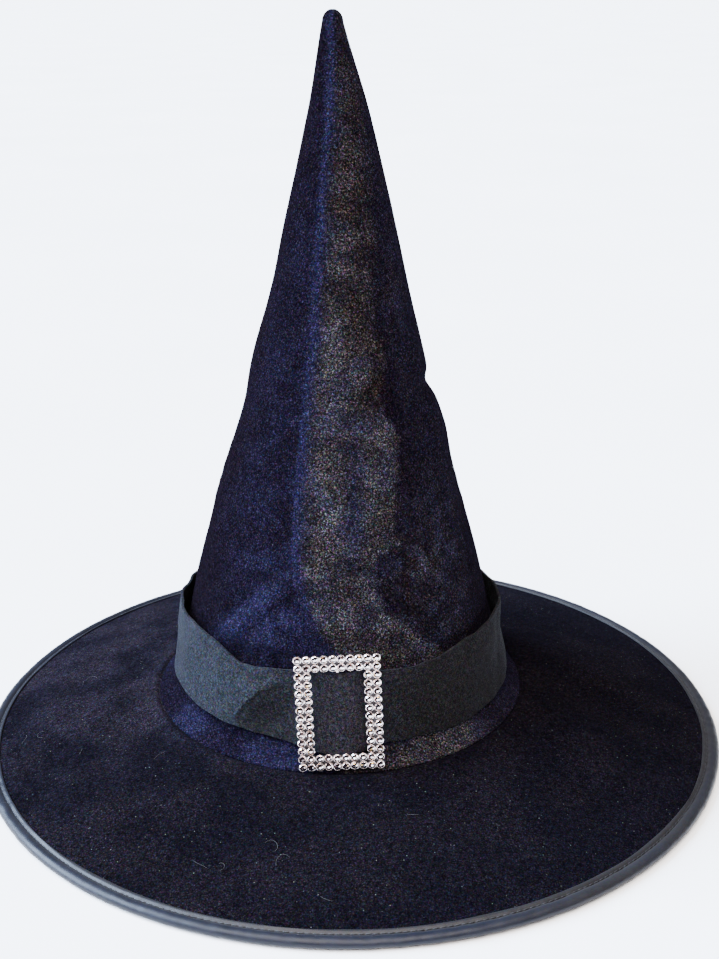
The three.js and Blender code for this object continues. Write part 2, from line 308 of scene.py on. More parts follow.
def fibre(name, scale, shadow, light, rough, strength, depth):
    """Plain woven or twisted fibre: one noise gives its colour and its relief"""
    made, tree, shader = material(name)
    weave = noise(tree, scale, 2, 0.5)
    settle(shader, Base_Color=shades(tree, weave, [shadow, light]), Roughness=rough,
           Normal=bump(tree, weave, strength, depth))
    return made


def metal(name, low, high, rough):
    """Metal a little tarnished in clouds"""
    made, tree, shader = material(name)
    tarnish = noise(tree, 320, 4, 0.6)
    settle(shader, Metallic=1, Base_Color=shades(tree, tarnish, [(0.3, low), (0.7, high)]),
           Roughness=shades(tree, tarnish, [(0.3, grey(rough * 1.5)), (0.7, grey(rough))]),
           Normal=bump(tree, tarnish, 0.08, 0.0002))
    return made


def stone_glass():
    """Cut stones on foil: the mesh gives each facet painted light, from dark painted shade through a white
    painted highlight to an amber painted glint
    """
    made, tree, shader = material("stone_glass")
    color = shades(tree, painted(tree, "facet_light"), [
        (0.0, (0.002, 0.0015, 0.002)), (0.3, (0.012, 0.007, 0.008)), (0.42, (0.09, 0.05, 0.05)),
        (0.55, (0.30, 0.23, 0.23)), (0.7, (0.90, 0.75, 0.72)), (0.9, (1.0, 0.89, 0.85)),
        (1.0, (0.50, 0.32, 0.13))])
    settle(shader, Base_Color=color, Metallic=1, Roughness=0.12)
    return made


CROWN_VELVET = velvet(
    "crown_velvet", cool=(0.0044, 0.0037, 0.0092), warm=(0.0136, 0.0122, 0.0144), deep=(0.40, 0.30, 0.215),
    sheen=0.004, tint=(0.62, 0.60, 0.85), dust=0.03,
    grains_and_glints=[(0.36, 0.18), (0.5, 0.7), (0.6, 2.2), (0.69, 6.5)])
BRIM_VELVET = velvet(
    "brim_velvet", cool=(0.0043, 0.0038, 0.0066), warm=(0.0058, 0.0046, 0.0066), deep=grey(0.28),
    sheen=0.006, tint=(0.62, 0.56, 0.78), dust=0.10,
    grains_and_glints=[(0.36, 0.4), (0.5, 0.8), (0.6, 1.5), (0.69, 3.6)])
FELT_CLOTH = felt()
SATIN = satin()
BOARD = fibre("cloth_board", 1500, (0.35, (0.012, 0.012, 0.013)), (0.65, (0.035, 0.035, 0.037)),
              rough=0.95, strength=0.5, depth=0.0003)
THREAD = fibre("thread", 3500, (0.3, (0.0015, 0.0014, 0.0022)), (0.7, (0.0050, 0.0048, 0.0070)),
               rough=0.6, strength=0.4, depth=0.0001)
PLATING = metal("plating", (0.66, 0.55, 0.52), (0.96, 0.82, 0.78), 0.2)
FRAME_METAL = metal("frame_metal", (0.018, 0.014, 0.014), (0.045, 0.038, 0.038), 0.3)
WIRE = metal("wire", (0.38, 0.38, 0.39), (0.56, 0.56, 0.57), 0.3)
STONES = stone_glass()


# Mesh making

def mesh_object(name, points, faces, finish, smooth=True):
    mesh = bpy.data.meshes.new(name)
    mesh.from_pydata((np.asarray(points) * MM).tolist(), [], faces)
    mesh.validate()
    mesh.update()
    if smooth:
        mesh.shade_smooth()
    else:
        mesh.shade_flat()
    made = bpy.data.objects.new(name, mesh)
    bpy.context.scene.collection.objects.link(made)
    made.data.materials.append(finish)
    return made


def ring_faces(first, rings, sides, outward=True):
    """Quads between rings of points that follow each other, each ring with this many sides"""
    made = []
    for i in range(rings - 1):
        for k in range(sides):
            a, b = first + i * sides + k, first + i * sides + (k + 1) % sides
            made.append([a, b, b + sides, a + sides] if outward else [a, a + sides, b + sides, b])
    return made


def add_tube(points, faces, rings):
    """Adds a tube through these rings, closed at both ends"""
    first, sides = len(points), len(rings[0])
    for ring in rings:
        points += ring
    faces += ring_faces(first, len(rings), sides)
    last = first + (len(rings) - 1) * sides
    faces.append([first + k for k in reversed(range(sides))])
    faces.append([last + k for k in range(sides)])


def full_turn(angle):
    """The same angle between -180 and 180"""
    return (angle + 180) % 360 - 180


def around(count):
    """Angles evenly round the hat, in degrees"""
    return np.linspace(-180, 180, count, endpoint=False)


def turns(sides, start=0.0):
    """Angles evenly round a circle, in radians"""
    return [start + 2 * math.pi * k / sides for k in range(sides)]


def grid_faces(rows, columns, closed):
    """Quads over a grid whose rows run round and whose columns run up"""
    i = np.arange(rows - 1)[:, None]
    j = np.arange(columns if closed else columns - 1)[None, :]
    k = (j + 1) % columns
    corners = [i * columns + j, i * columns + k, (i + 1) * columns + k, (i + 1) * columns + j]
    return np.stack(corners, -1).reshape(-1, 4).tolist()


def skin(name, points, finish, closed=True, cap=False):
    """A mesh through a grid of points, [row, place in row, xyz]. cap closes the last row with one point."""
    rows, columns = points.shape[:2]
    faces = grid_faces(rows, columns, closed)
    flat = points.reshape(-1, 3)
    if cap:
        top = points[-1].mean(0)
        last = (rows - 1) * columns
        faces += [[last + j, last + (j + 1) % columns, len(flat)] for j in range(columns)]
        flat = np.vstack([flat, top])
    return mesh_object(name, flat, faces, finish)


def thicken(piece, thickness, offset=-1.0):
    made = piece.modifiers.new("thickness", "SOLIDIFY")
    made.thickness = thickness * MM
    made.offset = offset
    made.use_even_offset = False


def soften_edges(piece, width):
    made = piece.modifiers.new("soft_edge", "BEVEL")
    made.width = width * MM
    made.segments = 2
    return made


def finish_piece(piece, body, replaced=()):
    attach(piece, body)
    if replaced:
        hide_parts(*replaced)


def paint(piece, name, values):
    """Gives each point of a mesh a value from 0 to 1"""
    attribute = piece.data.attributes.new(name, "FLOAT", "POINT")
    flat = np.clip(np.asarray(values, float).ravel(), 0, 1)
    extra = len(piece.data.vertices) - len(flat)
    attribute.data.foreach_set("value", np.concatenate([flat, np.full(extra, flat[-1])]))


def polar(angle, radius, z, centre_x=0.0):
    a = np.radians(angle)
    x = centre_x + radius * np.sin(a)
    y = -radius * np.cos(a)
    return np.stack(np.broadcast_arrays(x, y, z), -1)


def rods(name, starts, ends, radius, finish, bulge=1.0):
    """Short threads from start to end, each a closed spindle, all in one mesh"""
    points, faces = [], []
    shares = (0.0, 0.12, 0.5, 0.88, 1.0)
    sizes = (0.35, 0.9, bulge, 0.9, 0.35)
    for start, end in zip(np.asarray(starts, float), np.asarray(ends, float)):
        along = end - start
        along /= np.linalg.norm(along)
        side = np.cross(along, (0.3, 0.2, 0.93))
        side /= np.linalg.norm(side)
        other = np.cross(along, side)
        add_tube(points, faces, [
            [start + (end - start) * share + radius * size * (math.cos(t) * side + math.sin(t) * other)
             for t in turns(5)] for share, size in zip(shares, sizes)])
    return mesh_object(name, points, faces, finish)


# Crown

PILE_CLOTH = 0.6  # how thick the velvet is
BACK_STITCH = 4.0  # the back seam's stitches draw small puckers, this far apart
FOOT_TUCK = 2.2  # how far the cloth turns in below the seam with the brim
TIP_ROUND = 5.6  # the height of the rounded tip
# The front crease, as (angle, up)
CREASE = [(-1.2, 44), (-3.6, 54), (-11.5, 73), (-17, 95), (-17.5, 140), (-16, 200), (-16, 250), (-11, 296),
          (4, 325)]


def crown_radius(up):
    """A cone that swells a little low down and flares where it meets the brim"""
    cone = TIP_R + TAPER * (CROWN_H - up) + BELLY / (1 + np.exp((up - BELLY_TOP) / BELLY_FADE))
    foot = TIP_R + TAPER * CROWN_H + BELLY
    return cone + (SEAM_R - foot) * np.exp(-up / FLARE_RISE)


def crown_centre(up):
    """The cone leans right, and its tip back again"""
    return CROWN_X + 2.6 * ramp(up, 60, 280) - 2.2 * ramp(up, 288, 332)


def crease_angle(up):
    angles, heights = zip(*CREASE)
    return np.interp(up, heights, angles)


def fold(angle, up, radius, start, end, width):
    """A ridge of height 1 along a line between two places on the crown, tapered at its ends"""
    x = np.radians(angle) * radius
    x0, x1 = math.radians(start[0]) * radius, math.radians(end[0]) * radius
    dx, dy = x1 - x0, end[1] - start[1]
    size = dx * dx + dy * dy
    t = ((x - x0) * dx + (up - start[1]) * dy) / size
    inside = np.clip(t, 0, 1)
    away = np.hypot(x - x0 - inside * dx, up - start[1] - inside * dy)
    return np.exp(-((away / width) ** 2)) * (0.35 + 0.65 * np.sin(math.pi * inside))


# Folds and swellings in the crown's cloth: start, end, width, height (a negative height is a groove)
CROWN_FOLDS = [
    ((8, 214), (28, 189), 5.0, -1.5),
    ((28, 189), (66, 168), 4.5, -2.0),
    ((12, 163), (36, 175), 4.5, -1.9),
    ((60, 166), (110, 160), 5.0, -2.6),
    ((16, 172), (40, 158), 8.0, 1.3),
    ((55, 150), (100, 138), 15.0, 2.4),
    ((20, 196), (46, 186), 8.0, 1.2),
    ((32, 128), (30, 104), 5.0, -1.2),
    ((30, 103), (14, 88), 5.0, -1.3),
    ((5, 92), (12, 62), 5.0, -1.1),
    ((19, 90), (36, 72), 6.0, -1.4),
    ((22, 74), (50, 60), 7.0, 1.3),
    ((45, 90), (62, 70), 6.0, -1.1),
    ((-56, 46), (-18, 81), 5.0, 1.8),
    ((-50, 60), (-30, 76), 5.0, -1.3),
    ((-34, 54), (-12, 66), 6.0, 1.4),
    ((-30, 46), (-12, 50), 4.0, -0.9),
    ((-70, 62), (-50, 84), 6.0, -1.2),
    ((-95, 158), (-60, 150), 8.0, -0.5),
    ((-110, 118), (-62, 112), 9.0, -0.4),
    ((110, 100), (165, 130), 9.0, -1.6),
    ((-150, 90), (-110, 70), 9.0, -1.5),
    ((150, 190), (178, 168), 7.0, -1.4),
    ((-175, 150), (-140, 165), 8.0, 1.4),
]


def crown_relief(angle, up, points):
    """How far creases, folds, the back seam and crushing lift the cloth off the plain cone"""
    radius = crown_radius(up)
    ridge_at = crease_angle(up)
    relief = np.zeros_like(up)
    for at, strength in ((ridge_at, 1.0), (ridge_at + 180, 0.8)):
        away = full_turn(angle - at)
        soft = np.sqrt(away**2 + 1.8**2)
        relief += strength * 0.036 * radius * np.exp(-soft / 24) * ramp(up, 22, 66)
    for start, end, width, height in CROWN_FOLDS:
        relief += height * fold(angle, up, radius, start, end, width)
    from_back = np.radians((angle % 360) - 180) * radius
    pucker = 0.22 * np.sin(up * 2 * math.pi / BACK_STITCH) * hill(from_back, 0, 4)
    relief += ramp(up, 4, 10) * ramp(-up, -326, -316) * (pucker - 0.7 * hill(from_back, 0, 1.1))
    away_from_foot = ramp(up, 3, 26)
    taper = np.minimum(radius / 60, 1)
    relief += away_from_foot * taper * 0.55 * waves(11, 24, 35, 110)(points)
    crush = waves(12, 40, 9, 26)(points + 3 * waves(13, 12, 30, 60)(points)[..., None])
    patch = ramp(waves(14, 14, 45, 120)(points), -0.6, 1.2)
    right = 0.45 + 0.55 * ramp(angle, -18, 20) * ramp(-angle, -75, -40)
    low = ramp(-up, -120, -50)
    outline = 1 - 0.75 * hill(np.abs(angle), 88, 34)
    relief += away_from_foot * taper * outline * crush * patch * (0.14 + 0.24 * right + 0.2 * low)
    return relief


def crown_grid(columns, rows):
    foot = [-1.6, -0.8, -0.2, 0.4, 1.0, 1.8, 2.8, 4.2, 6.0, 8.0]
    up = np.concatenate([foot, np.linspace(10.2, CROWN_H - 6, rows)])
    return np.meshgrid(around(columns), up)


def crown_points(angle, up):
    height = np.maximum(up, 0)
    base = polar(angle, crown_radius(height), up, crown_centre(up))
    radius = crown_radius(height) + crown_relief(angle, height, base)
    radius -= FOOT_TUCK * ramp(-up, 0, 1.6)
    points = polar(angle, radius, SEAM_Z + up, crown_centre(up))
    rounded = []
    last = points[-1]
    middle = last.mean(0)
    for t in np.radians([20, 40, 60, 76]):
        ring = middle + (last - middle) * math.cos(t)
        ring[:, 2] = middle[2] + TIP_ROUND * math.sin(t)
        rounded.append(ring)
    return np.concatenate([points, np.array(rounded)])


# Strokes of painted sheen along the folds left of the crease, and a few round the back: start, end, width,
# strength
LEFT_PAINTED_SHEEN = [
    ((-53, 46), (-21, 84), 5.8, 1.2),
    ((-33, 51), (-8, 60), 7.5, 0.9),
    ((-31, 56), (-14, 74), 7.0, 0.8),
    ((-15, 70), (-6, 52), 13.0, 0.9),
    ((-50, 84), (-24, 94), 7.0, 0.35),
    ((120, 60), (165, 90), 12.0, 0.8),
    ((-160, 70), (-110, 110), 14.0, 0.8),
    ((-140, 190), (-100, 150), 12.0, 0.6),
    ((150, 240), (170, 160), 10.0, 0.7),
]
# How far the pale nap reaches right, in mm round the crown from the front, by height
PATCH_EDGE = [(36, 72), (40, 62), (46, 52), (52, 43), (60, 33), (70, 26), (80, 19), (88, 16.5), (93, 18),
              (98, 29), (128, 31), (150, 27), (164, 17), (176, 22), (200, 17), (240, 15), (300, 9), (334, 5)]
# Painted shadow in the creases right of the crease, where the pale nap is darkened: start, end, width,
# strength
CREASE_PAINTED_SHADOWS = [
    ((12, 163), (36, 177), 5.5, 0.9),
    ((6, 224), (26, 194), 7.0, 0.7),
    ((26, 194), (60, 172), 9.0, 0.9),
    ((14, 262), (24, 236), 7.0, 0.6),
    ((32, 128), (31, 106), 3.5, 0.35),
    ((26, 92), (36, 76), 6.0, 0.5),
]
# Painted sheen on the crown's flared foot: angle, half width, strength
FLANGE_SHINE = [(-57, 10, 0.9), (-18, 10, 0.95), (-40, 6, 0.3), (24, 8, 0.75), (41, 9, 0.8), (75, 12, 0.3),
                (-110, 20, 0.6), (130, 25, 0.6), (180, 20, 0.4), (-180, 20, 0.4)]


def strongest(strokes, angle, up, radius):
    """The strongest of a list of strokes at each point"""
    most = np.zeros_like(up)
    for start, end, width, strength in strokes:
        most = np.maximum(most, strength * fold(angle, up, radius, start, end, width))
    return most


def crown_nap_and_painted_light(angle, up):
    """Where the pile looks light and where it looks brown: partly the crushed pile's own nap and tone,
    partly painted light, with a painted highlight along the crease, painted sheen on folds and on the flared
    foot, painted sparkle and painted warm light on the right, painted shadow in creases and painted shade
    towards the left side
    """
    radius = crown_radius(np.maximum(up, 0))
    where = polar(angle, radius, up)
    drift = 6 * waves(61, 16, 18, 60)(where)
    ragged = 0.9 * waves(62, 24, 4, 12)(where)
    x = np.radians(angle) * radius
    from_ridge = x - np.radians(crease_angle(up)) * radius
    right_edge = np.interp(up, *zip(*PATCH_EDGE))
    upper_part = ramp(up, 165, 255)
    soft = 1 + 1.6 * upper_part
    patch = ramp(from_ridge, -3.0, 2.5) * ramp((right_edge - x + drift * 0.3 + ragged) / soft, -2.6, 3.2)
    beside = hill(x, 46, 19) * hill(up, 84, 16) + 0.5 * hill(x, 30, 12) * hill(up, 205, 22)
    low_right = ramp(x, 8, 22) * ramp(-x, -88, -66) * ramp(-up, -138, -104)
    blotches = ramp(waves(63, 22, 10, 34)(where), -0.9, 0.9)
    high = ramp(up, 180, 300)
    # Painted highlight: a pale stroke along the top of the front crease
    line = 1.2 * hill(from_ridge, -1.4, 2.2) * ramp(up, 60, 110)
    left = ramp(-from_ridge, -2, 2)
    strokes = strongest(LEFT_PAINTED_SHEEN, angle, up, radius)
    # Painted shade: the pale pile is darkened towards the crown's left side, where the window light falls
    # square on
    left_edge_painted_shade = 1 - 0.9 * ramp(-angle, 34, 80)
    creases = strongest(CREASE_PAINTED_SHADOWS, angle, up, radius)
    # Painted shadow in those creases takes the pale patch away
    patch_nap = patch * (0.5 + 0.6 * blotches) * (1 - 0.58 * upper_part) * (1 - np.minimum(creases, 1))
    patch_nap = patch_nap * (1 - 0.28 * hill(up, 178, 16) - 0.2 * hill(from_ridge, 6, 6) * hill(up, 102, 24))
    nap_and_painted_light = patch_nap + line * (1.0 - 0.3 * high - 0.28 * hill(up, 172, 24))
    quiet = (1 - 0.7 * high) * (1 - 0.45 * hill(up, 62, 34))
    nap_and_painted_light = nap_and_painted_light + left * (0.2 + 0.2 * blotches) * left_edge_painted_shade * quiet + left * strokes * (0.85 + 0.5 * blotches)
    foot = ramp(-up, -12, -6)
    shine = np.zeros_like(up)
    for at, wide, strength in FLANGE_SHINE:
        shine = np.maximum(shine, strength * hill(angle + 0.6 * drift, at, wide))
    nap_and_painted_light = nap_and_painted_light * (1 - foot) + foot * (0.12 + shine)
    dark_right = ramp(angle, 20, 50) * ramp(-angle, -130, -90)
    mottle = ramp(waves(67, 24, 7, 20)(where), -0.5, 1.2)
    # Painted sparkle: bright flecks of pile beside the pale patch, over the right side and low on the right
    painted_sparkle = 0.55 * np.minimum(beside, 1) + 0.08 * dark_right + 0.22 * low_right
    nap_and_painted_light = nap_and_painted_light + (1 - patch) * (mottle * painted_sparkle
                               + (0.2 + 0.1 * ramp(up, 120, 140)) * dark_right + 0.16 * low_right)
    streaks = ramp(waves(66, 22, 6, 26)(where), -0.4, 1.0)
    core = hill(x, 7, 6) * hill(up, 122, 38)
    spread = np.maximum(patch, np.maximum(0.6 * beside, 0.2 * low_right + 0.12 * dark_right))
    brown = (0.08 + 0.92 * spread) * (1 - 0.7 * core) * (1 - 0.45 * streaks)
    warm = brown * ramp(from_ridge, -2, 7) * ramp(-angle, -120, -60)
    return nap_and_painted_light, warm


def make_crown():
    angle, up = crown_grid(480, 420)
    crown = skin("crown_cloth", crown_points(angle, up), CROWN_VELVET, cap=True)
    tip_rows = (len(crown.data.vertices) - up.size) // up.shape[1]
    for name, value in zip(("nap_and_painted_light", "warm"), crown_nap_and_painted_light(angle, up)):
        paint(crown, name, np.concatenate([value, np.repeat(value[-1:], tip_rows, 0)]))
    thicken(crown, PILE_CLOTH)
    finish_piece(crown, "hat", ["crown_velvet"])


make_crown()


# Brim

def brim_centre(radius):
    """The opening's centre is the crown's, and the edge's centre is the frame's"""
    return CROWN_X * np.clip((BRIM_R - radius) / (BRIM_R - SEAM_R), 0, 1)


def brim_height(radius):
    """The top of the brim's layers: up to the seam, in a low arch"""
    edge = EDGE_MID_Z + BRIM_THICK / 2
    t = (radius - SEAM_R) / (LAYERS_R - SEAM_R)
    return SEAM_Z + (edge - SEAM_Z) * t + BRIM_ARCH * np.sin(math.pi * np.clip(t, 0, 1))


def brim_relief(angle, radius, points):
    """Slow waves over the brim, and the lip and groove of the seam"""
    middle = ramp(radius, 95, 112) * ramp(-radius, -178, -160)
    relief = middle * 0.75 * waves(21, 18, 50, 150)(points)
    relief += middle * 0.12 * waves(22, 26, 14, 34)(points)
    lip = hill(radius, 97.5, 2.6) * (0.35 + 0.9 * hill(angle, -62, 34) + 0.3 * hill(angle, 80, 40))
    groove = -0.6 * hill(radius, 94.4, 1.4)
    return relief + lip + groove


def paint_brim(piece, angle, points):
    clouds = ramp(waves(65, 20, 20, 90)(points), -1.2, 1.2)
    # Painted light: sheen at the left back and on the lip by the seam at the left, shade at the right back,
    # with streaks that are strongest on the left
    light = 0.32 + 0.55 * hill(angle, -120, 48) - 0.13 * hill(angle, 125, 70)
    radius = np.hypot(points[..., 0], points[..., 1])
    light = light + 0.9 * hill(radius, 104, 7) * hill(angle, -68, 20) * (0.4 + clouds)
    brushed_and_shade = ramp(waves(68, 30, 5, 40)(points), -1.3, 1.3) - 0.5
    left = hill(angle, -105, 50)
    light = light + (0.06 + 0.4 * left) * brushed_and_shade
    paint(piece, "nap_and_painted_light", light + (0.12 + 0.3 * left) * (clouds - 0.5))
    paint(piece, "warm", 0.3 + 0.5 * clouds)


def make_brim():
    radius = np.concatenate([np.linspace(184.6, 102, 100), np.linspace(101.2, 91.8, 20)])
    angle, radius = np.meshgrid(around(480), radius)
    flat = polar(angle, radius, brim_height(radius), brim_centre(radius))
    relief = brim_relief(angle, radius, flat)
    points = flat.copy()
    points[..., 2] += relief
    top = skin("brim_top_cloth", points, BRIM_VELVET)
    paint_brim(top, angle, points)
    thicken(top, PILE_CLOTH)
    finish_piece(top, "hat", ["brim_top_velvet"])
    under = points[::-1].copy()
    under[..., 2] -= BELOW_TOP
    board = skin("brim_board", under + [0, 0, 1.2], BOARD)
    thicken(board, 0.9, 1.0)
    under_cloth = skin("brim_under_cloth", under - [0, 0, 0.6], BRIM_VELVET)
    paint_brim(under_cloth, angle[::-1], under)
    thicken(under_cloth, 0.5)
    finish_piece(board, "hat", ["brim_core"])
    finish_piece(under_cloth, "hat", ["brim_under_velvet"])


make_brim()


# Binding

# The roll round the brim's edge: its middle, and how far it reaches out and up from there
ROLL_MID_R = 186.95
ROLL_WIDE = 3.05
ROLL_RISE = 2.75


def binding_section():
    """[radius, z] from the inner edge below, round the outside, to the inner edge on top"""
    points = [(BINDING_IN_R - 0.1, brim_height(BINDING_IN_R) + 0.2),
              (BINDING_IN_R + 0.05, brim_height(BINDING_IN_R) + 0.65)]
    above = [(182.7, 0.85), (183.1, 0.85), (183.5, 0.8), (183.9, 0.6), (STITCH_R, 0.32)]
    points += [(r, brim_height(r) + rise) for r, rise in above]
    for t in np.radians(np.arange(-46, 226, 9)):
        rise = ROLL_RISE if math.cos(t) > 0 else EDGE_MID_Z
        points.append((ROLL_MID_R + ROLL_WIDE * math.sin(t), EDGE_MID_Z + rise * math.cos(t)))
    below = [(184.2, 0.7), (183.5, 0.6), (STITCH_UNDER_R, 0.35), (182.2, 0.75), (181.4, 0.75),
             (BINDING_UNDER_R, 0.3)]
    points += [(r, brim_height(r) - BRIM_THICK - drop) for r, drop in below]
    return np.array(points[::-1])


BINDING_SEAM = -63.5  # the angle where the tape's two ends are joined


def make_binding():
    section = binding_section()
    angle, share = np.meshgrid(around(1440), np.arange(len(section)) / (len(section) - 1))
    r = np.repeat(section[:, :1], angle.shape[1], 1)
    z = np.repeat(section[:, 1:], angle.shape[1], 1)
    arc = np.radians(angle) * BRIM_R
    sample = np.stack([np.cos(np.radians(angle)) * 190, np.sin(np.radians(angle)) * 190, share * 18], -1)
    pucker = 0.045 * waves(31, 30, 5, 13)(sample) + 0.05 * waves(32, 16, 25, 80)(sample)
    pucker = pucker + 0.09 * waves(34, 30, 4, 9)(sample) * hill(r, STITCH_R, 1.3)
    seam_at = math.radians(BINDING_SEAM) * BRIM_R
    slant = (share - 0.5) * 14
    along = arc - slant
    lap = 0.5 * ramp(along, seam_at - 0.4, seam_at + 0.3) * ramp(-along, -(seam_at + 9), -(seam_at + 3))
    nx = r - 186.5
    nz = z - EDGE_MID_Z
    size = np.hypot(nx * 0.6, nz) + 1e-6
    swell = (pucker + lap) * np.where(r < 184, 0.6, 1)
    r = r + swell * np.where(r > 187, nx / size * 0.6, 0)
    z = np.maximum(z + swell * nz / size, 0.0)
    r = np.minimum(r, BRIM_R)
    top_side = ramp(share, 0.5, 0.7)
    edge = 0.16 * waves(33, 12, 20, 90)(sample)
    r = r + edge * np.where(r < 183, 1, 0) * top_side
    tape = skin("binding_tape", polar(angle, r, z, brim_centre(r)), SATIN)
    # Painted sheen: the tape is painted greyer along the stitched strip on top and along the outer roll's
    # lower rim, from the front round to the right, and over the right side, with some random greyer tone
    strip = ramp(share, 0.74, 0.82)
    rim = hill(share, 0.33, 0.09)
    front = ramp(angle, -70, -25)
    right = ramp(angle, 0, 40) * ramp(-angle, -125, -90)
    paint(tape, "warm", (0.75 * strip + 0.6 * rim) * front + 0.6 * right
          + 0.25 * ramp(waves(35, 14, 20, 90)(sample), -1, 1))
    thicken(tape, 0.35)
    finish_piece(tape, "hat", ["brim_binding"])


make_binding()


def ring_stitches(name, radius, height, replaced):
    """Stitches of 2.5 mm with a gap after each, drawn a little into the tape"""
    count = int(round(2 * math.pi * radius / 3.1))
    angle = np.arange(count) * 360 / count
    half = math.degrees(1.25 / radius)
    ends = [polar(angle + turn, radius, height, brim_centre(radius)) for turn in (-half, half)]
    finish_piece(rods(name, *ends, 0.2, THREAD, bulge=1.15), "hat", replaced)


ring_stitches("binding_stitches_top", STITCH_R, brim_height(STITCH_R) + 0.42, ["binding_thread_top"])
ring_stitches("binding_stitches_under", STITCH_UNDER_R, brim_height(STITCH_UNDER_R) - BRIM_THICK - 0.45,
              ["binding_thread_under"])


def brim_surface(x, y):
    """The height of the brim's top cloth under a point"""
    radius = math.hypot(x, y)
    for _ in range(3):
        centre = brim_centre(radius)
        radius = math.hypot(x - centre, y)
    angle = math.degrees(math.atan2(x - centre, -y))
    point = polar(angle, radius, brim_height(radius), centre)
    return float(point[2] + brim_relief(angle, radius, point))


def stray_fibres():
    """Loose pale hairs that lie curled on the brim, each a thin closed tube"""
    rng = np.random.default_rng(71)
    thick, step = 0.07, 0.8
    points, faces = [], []
    for _ in range(12):
        x, y, _ = polar(rng.uniform(-100, 25), rng.uniform(112, 172), 0.0)
        heading, bend, arch = rng.uniform(0, 2 * math.pi), rng.normal(0, 0.2), rng.uniform(0.2, 0.7)
        pieces = int(rng.integers(7, 16))
        rings = []
        for i in range(pieces + 1):
            middle = np.array([x, y, brim_surface(x, y) + 0.15 + arch * math.sin(math.pi * i / pieces)])
            across = np.array([-math.sin(heading), math.cos(heading), 0.0])
            radius = thick * (0.4 if i in (0, pieces) else 1)
            rings.append([middle + radius * (math.cos(t) * across + [0, 0, math.sin(t)]) for t in turns(4)])
            x, y = x + step * math.cos(heading), y + step * math.sin(heading)
            heading += bend + rng.normal(0, 0.1)
        add_tube(points, faces, rings)
    piece = mesh_object("stray_fibres", points, faces, BOARD)
    finish_piece(piece, "hat")


stray_fibres()


# Band

# The band's lower and upper edge, above the seam, by angle
BAND_EDGES = [(-180, 10.5, 48.3), (-120, 11.5, 49.3), (-78, 14.0, 51.4), (-56, 13.3, 51.4),
              (-47, 13.4, 50.4), (-40, 13.6, 47.2), (-34, 14.0, 44.2), (-28, 12.4, 45.0),
              (-15, 10.6, 46.2), (-7, 9.4, 48.4), (7, 9.4, 48.5), (15, 10.2, 45.6), (27, 9.2, 44.6),
              (40, 9.0, 46.8), (52, 9.2, 47.8), (90, 9.8, 48.0), (180, 10.5, 48.3)]
# The pleat: two arms that meet at a point, and a faint ridge on from it, each as (angle, up). How far it
# stands proud, how far that dies away, and how far the faces beside it run back to the band's own round.
PLEAT_TIP = (-25.1, 35.8)
PLEAT_LOWER = [(-32.5, 12.0), (-34.0, 18.6), (-31.1, 25.3), (-27.9, 30.5), PLEAT_TIP]
PLEAT_UPPER = [(-44, 43.2), (-36, 40.6), (-29.2, 37.6), PLEAT_TIP]
PLEAT_RIDGE = [PLEAT_TIP, (-17, 40.6)]
PLEAT_PROUD = 4.2
PLEAT_REACH = 16.0
PLEAT_LEFT = 34.0
PLEAT_RIGHT = 15.0


def on_band(line):
    """Places on the band, (angle, up), as millimetres along it and up"""
    return np.array([(math.radians(a) * BAND_R, u) for a, u in line])


def edge_curve(angle, column):
    """The band's lower (1) or upper (2) edge, smoothed"""
    known = np.array(BAND_EDGES, float)
    fine = np.linspace(-180, 180, 721)
    value = np.interp(fine, known[:, 0], known[:, column])
    kernel = np.hanning(13)
    padded = np.concatenate([value[-7:-1], value, value[1:7]])
    smooth = np.convolve(padded, kernel / kernel.sum(), "valid")
    return np.interp(angle, fine, smooth)


def nearest(line, x, y):
    """For each point: distance to a bent line, which side it is on, and the nearest point's own place"""
    best = np.full(x.shape, 1e9)
    side = np.zeros(x.shape)
    at_x, at_y = np.zeros(x.shape), np.zeros(x.shape)
    for p, q in zip(line[:-1], line[1:]):
        d = q - p
        t = np.clip(((x - p[0]) * d[0] + (y - p[1]) * d[1]) / (d @ d), 0, 1)
        near_x, near_y = p[0] + t * d[0], p[1] + t * d[1]
        away = np.hypot(x - near_x, y - near_y)
        closer = away < best - 1e-6
        best = np.where(closer, away, best)
        side = np.where(closer, np.sign(d[0] * (y - near_y) - d[1] * (x - near_x)), side)
        at_x, at_y = np.where(closer, near_x, at_x), np.where(closer, near_y, at_y)
    return best, side, at_x, at_y


def pleat_relief(angle, up):
    """The felt is pushed into a point: proud between the two arms, and falling away beyond them"""
    x, y = np.radians(angle) * BAND_R, up
    lines = [on_band(line) for line in (PLEAT_LOWER, PLEAT_UPPER, PLEAT_RIDGE)]
    tip = lines[0][-1]

    def body(px, py):
        return PLEAT_PROUD * np.exp(-np.hypot(px - tip[0], py - tip[1]) / PLEAT_REACH)

    low, low_side, _, low_y = nearest(lines[0], x, y)
    high, high_side, high_x, high_y = nearest(lines[1], x, y)
    inside = (low_side > 0) & (high_side < 0)
    fold_height = np.clip((low_y - lines[0][0][1] + 10) / 24, 0, 1)
    left_face = PLEAT_PROUD * np.clip(1 - low / PLEAT_LEFT, 0, 1) ** 1.3
    dip = 0.12 * np.exp(-((low / 1.2 - 1) ** 2))
    right_face = PLEAT_PROUD * (np.clip(1 - low / PLEAT_RIGHT, 0, 1) ** 1.2 - dip)
    above = left_face * (0.62 + 0.38 * np.exp(-high / 5)) - 1.5 * body(high_x, high_y) / PLEAT_PROUD * (
        1 - np.exp(-high / 0.8)) * np.exp(-high / 9)
    relief = np.where(low_side > 0, np.where(inside, left_face, above), right_face) * fold_height
    ridge, _, ridge_x, _ = nearest(lines[2], x, y)
    return relief + 0.7 * np.exp(-((ridge / 2.2) ** 2)) * (1 - ramp(ridge_x, tip[0], tip[0] + 14))


